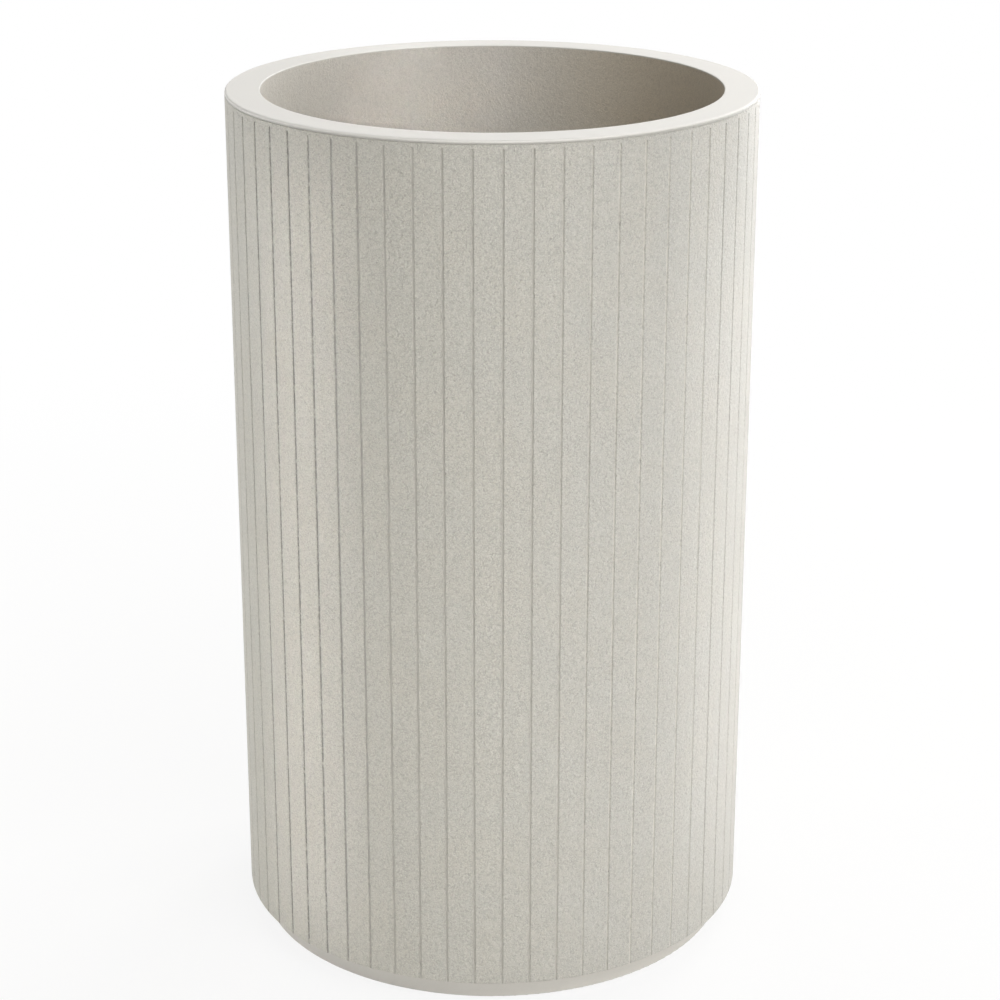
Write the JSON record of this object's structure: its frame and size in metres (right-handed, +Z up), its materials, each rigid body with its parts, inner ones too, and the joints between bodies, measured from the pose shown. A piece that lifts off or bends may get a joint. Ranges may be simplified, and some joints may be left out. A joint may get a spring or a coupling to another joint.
{
  "type": "tall round planter",
  "caption": "Tall round double-walled planter with a fluted sleeve, a flat rim, a recessed foot, a lift-out shelf and drains with plugs.",
  "frame": {"origin": "centre of the foot's underside, on the ground", "axes": "+Z up along the planter's axis, which is also its longest extent; +X and +Y lie in the ground plane, and the drains lie at 45 degrees between them"},
  "size_m": [0.395, 0.395, 0.66],
  "materials": {
    "grained_plastic": "matt with a fine stone-like grain",
    "smooth_plastic": "smooth satin",
    "foot_plastic": "smooth satin",
    "shelf_plastic": "plain moulded",
    "plug_rubber": "soft matt",
    "screw_steel": "zinc plated"
  },
  "bodies": {
    "planter": {"outer_sleeve": "grained_plastic", "rim_pot": "smooth_plastic", "foot_base": "foot_plastic", "base_screws": "screw_steel"},
    "shelf": {"planting_shelf": "shelf_plastic"},
    "plug_1": {"drain_plug_1": "plug_rubber"},
    "plug_2": {"drain_plug_2": "plug_rubber"},
    "plug_3": {"drain_plug_3": "plug_rubber"},
    "plug_4": {"drain_plug_4": "plug_rubber"}
  },
  "joints": [
    {"name": "shelf_lift", "type": "slide", "parent": "planter", "child": "shelf", "axis": [0, 0, 1], "range_m": [0, 0.34]},
    {"name": "drain_plug_1_pull", "type": "slide", "parent": "planter", "child": "plug_1", "axis": [0, 0, 1], "range_m": [0, 0.05]},
    {"name": "drain_plug_2_pull", "type": "slide", "parent": "planter", "child": "plug_2", "axis": [0, 0, 1], "range_m": [0, 0.05]},
    {"name": "drain_plug_3_pull", "type": "slide", "parent": "planter", "child": "plug_3", "axis": [0, 0, 1], "range_m": [0, 0.05]},
    {"name": "drain_plug_4_pull", "type": "slide", "parent": "planter", "child": "plug_4", "axis": [0, 0, 1], "range_m": [0, 0.05]}
  ]
}
